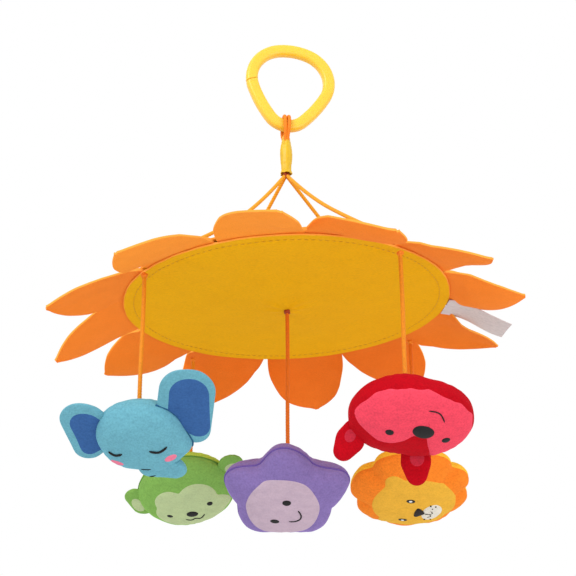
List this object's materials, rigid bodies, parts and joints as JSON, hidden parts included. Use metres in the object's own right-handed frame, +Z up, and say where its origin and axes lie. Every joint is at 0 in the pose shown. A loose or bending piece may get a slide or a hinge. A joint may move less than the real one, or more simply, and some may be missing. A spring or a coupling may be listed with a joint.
{
  "type": "crib mobile",
  "caption": "Plastic link on a cord over a round felt canopy with drooping petals and stuffed toy heads hanging below on cords.",
  "frame": {"origin": "the point inside the top of the plastic link where a hook carries the mobile", "axes": "+Z up along the hanging cord, -Y towards the near edge, +X to the right"},
  "size_m": [0.3457, 0.3487, 0.3927],
  "materials": {
    "link_plastic": "glossy moulded plastic",
    "hanger_cord": "braided cord",
    "drop_cord": "braided cord",
    "knot_cord": "tied cord end",
    "satin": "gathered satin",
    "yellow_felt": "brushed felt",
    "orange_felt": "brushed felt",
    "label_satin": "woven satin tape",
    "stiffener": "stiff bonded fleece",
    "stuffing": "polyester fibre",
    "purple_plush": "short plush",
    "star_face_plush": "short plush",
    "blue_plush": "short plush",
    "red_plush": "short plush",
    "pink_plush": "short plush",
    "green_plush": "short plush",
    "monkey_face_plush": "short plush",
    "gold_plush": "short plush",
    "orange_plush": "short plush",
    "lion_face_plush": "short plush"
  },
  "bodies": {
    "link": {"link_ring": "link_plastic"},
    "gate": {"link_gate": "link_plastic"},
    "loop": {"hanger_loop": "hanger_cord"},
    "hanger": {"hanger_sleeve": "satin"},
    "canopy": {"suspension_knot": "hanger_cord", "suspension_cord_near_right": "hanger_cord", "suspension_cord_near_left": "hanger_cord", "suspension_cord_far_left": "hanger_cord", "suspension_cord_far_right": "hanger_cord", "canopy_top_panel": "yellow_felt", "canopy_bottom_panel": "yellow_felt", "canopy_stiffener": "stiffener", "petal_01": "orange_felt", "petal_02": "orange_felt", "petal_03": "orange_felt", "petal_04": "orange_felt", "petal_05": "orange_felt", "petal_06": "orange_felt", "petal_07": "orange_felt", "petal_08": "orange_felt", "petal_09": "orange_felt", "petal_10": "orange_felt", "petal_11": "orange_felt", "petal_12": "orange_felt", "care_label": "label_satin"},
    "centre_knot": {"centre_knot": "knot_cord"},
    "star_line": {"star_cord": "drop_cord"},
    "star": {"star_front": "purple_plush", "star_back": "purple_plush", "star_stuffing": "stuffing", "star_face_patch": "star_face_plush"},
    "rim_knot_near_left": {"rim_knot_near_left": "knot_cord"},
    "elephant_line": {"elephant_cord": "drop_cord"},
    "elephant": {"elephant_front": "blue_plush", "elephant_back": "blue_plush", "elephant_stuffing": "stuffing", "elephant_ear_left": "blue_plush", "elephant_ear_right": "blue_plush", "elephant_trunk": "blue_plush"},
    "rim_knot_near_right": {"rim_knot_near_right": "knot_cord"},
    "dog_line": {"dog_cord": "drop_cord"},
    "dog": {"dog_front": "pink_plush", "dog_back": "red_plush", "dog_stuffing": "stuffing", "dog_ear_left": "red_plush", "dog_ear_right": "red_plush"},
    "rim_knot_far_left": {"rim_knot_far_left": "knot_cord"},
    "monkey_line": {"monkey_cord": "drop_cord"},
    "monkey": {"monkey_front": "green_plush", "monkey_back": "green_plush", "monkey_stuffing": "stuffing", "monkey_ear_left": "green_plush", "monkey_ear_right": "green_plush", "monkey_face_patch": "monkey_face_plush"},
    "rim_knot_far_right": {"rim_knot_far_right": "knot_cord"},
    "lion_line": {"lion_cord": "drop_cord"},
    "lion": {"lion_front": "orange_plush", "lion_back": "gold_plush", "lion_stuffing": "stuffing", "lion_face_patch": "lion_face_plush"}
  },
  "joints": [
    {"name": "gate_flex", "type": "hinge", "parent": "link", "child": "gate", "pos_m": [-0.01638, -0.00289, -0.05067], "axis": [-0.8417, -0.1484, -0.5192], "range_deg": [-12, 12], "stiffness_Nm_per_rad": 0.6},
    {"name": "loop_swing", "type": "hinge", "parent": "link", "child": "loop", "pos_m": [0, 0, -0.06416], "axis": [0.9848, 0.1736, 0], "range_deg": [-45, 45]},
    {"name": "canopy_twist", "type": "hinge", "parent": "loop", "child": "hanger", "pos_m": [0, 0, -0.108], "axis": [0, 0, 1], "range_deg": [-180, 180]},
    {"name": "canopy_tilt", "type": "hinge", "parent": "hanger", "child": "canopy", "pos_m": [0, 0, -0.108], "axis": [0, 1, 0], "range_deg": [-15, 15]},
    {"name": "star_sway_side", "type": "hinge", "parent": "canopy", "child": "centre_knot", "pos_m": [0.00031, 0, -0.22199], "axis": [1, 0, 0], "range_deg": [-5, 5]},
    {"name": "star_sway_out", "type": "hinge", "parent": "centre_knot", "child": "star_line", "pos_m": [0.00031, 0, -0.22199], "axis": [0, 1, 0], "range_deg": [-5, 5]},
    {"name": "star_spin", "type": "hinge", "parent": "star_line", "child": "star", "pos_m": [0.00031, 0, -0.22199], "axis": [0, 0, 1], "range_deg": [-180, 180]},
    {"name": "elephant_sway_side", "type": "hinge", "parent": "canopy", "child": "rim_knot_near_left", "pos_m": [-0.09736, -0.07634, -0.2249], "axis": [-0.788, -0.6157, 0], "range_deg": [-15, 15]},
    {"name": "elephant_sway_out", "type": "hinge", "parent": "rim_knot_near_left", "child": "elephant_line", "pos_m": [-0.09736, -0.07634, -0.2249], "axis": [-0.6157, 0.788, 0], "range_deg": [-5, 25]},
    {"name": "elephant_spin", "type": "hinge", "parent": "elephant_line", "child": "elephant", "pos_m": [-0.09736, -0.07634, -0.2249], "axis": [0, 0, 1], "range_deg": [-180, 180]},
    {"name": "dog_sway_side", "type": "hinge", "parent": "canopy", "child": "rim_knot_near_right", "pos_m": [0.07659, -0.09771, -0.21883], "axis": [0.6157, -0.788, 0], "range_deg": [-15, 15]},
    {"name": "dog_sway_out", "type": "hinge", "parent": "rim_knot_near_right", "child": "dog_line", "pos_m": [0.07659, -0.09771, -0.21883], "axis": [-0.788, -0.6157, 0], "range_deg": [-5, 25]},
    {"name": "dog_spin", "type": "hinge", "parent": "dog_line", "child": "dog", "pos_m": [0.07659, -0.09771, -0.21883], "axis": [0, 0, 1], "range_deg": [-180, 180]},
    {"name": "monkey_sway_side", "type": "hinge", "parent": "canopy", "child": "rim_knot_far_left", "pos_m": [-0.076, 0.09771, -0.22416], "axis": [-0.6157, 0.788, 0], "range_deg": [-15, 15]},
    {"name": "monkey_sway_out", "type": "hinge", "parent": "rim_knot_far_left", "child": "monkey_line", "pos_m": [-0.076, 0.09771, -0.22416], "axis": [0.788, 0.6157, 0], "range_deg": [-5, 25]},
    {"name": "monkey_spin", "type": "hinge", "parent": "monkey_line", "child": "monkey", "pos_m": [-0.076, 0.09771, -0.22416], "axis": [0, 0, 1], "range_deg": [-180, 180]},
    {"name": "lion_sway_side", "type": "hinge", "parent": "canopy", "child": "rim_knot_far_right", "pos_m": [0.09795, 0.07634, -0.21808], "axis": [0.788, 0.6157, 0], "range_deg": [-15, 15]},
    {"name": "lion_sway_out", "type": "hinge", "parent": "rim_knot_far_right", "child": "lion_line", "pos_m": [0.09795, 0.07634, -0.21808], "axis": [0.6157, -0.788, 0], "range_deg": [-5, 25]},
    {"name": "lion_spin", "type": "hinge", "parent": "lion_line", "child": "lion", "pos_m": [0.09795, 0.07634, -0.21808], "axis": [0, 0, 1], "range_deg": [-180, 180]}
  ]
}
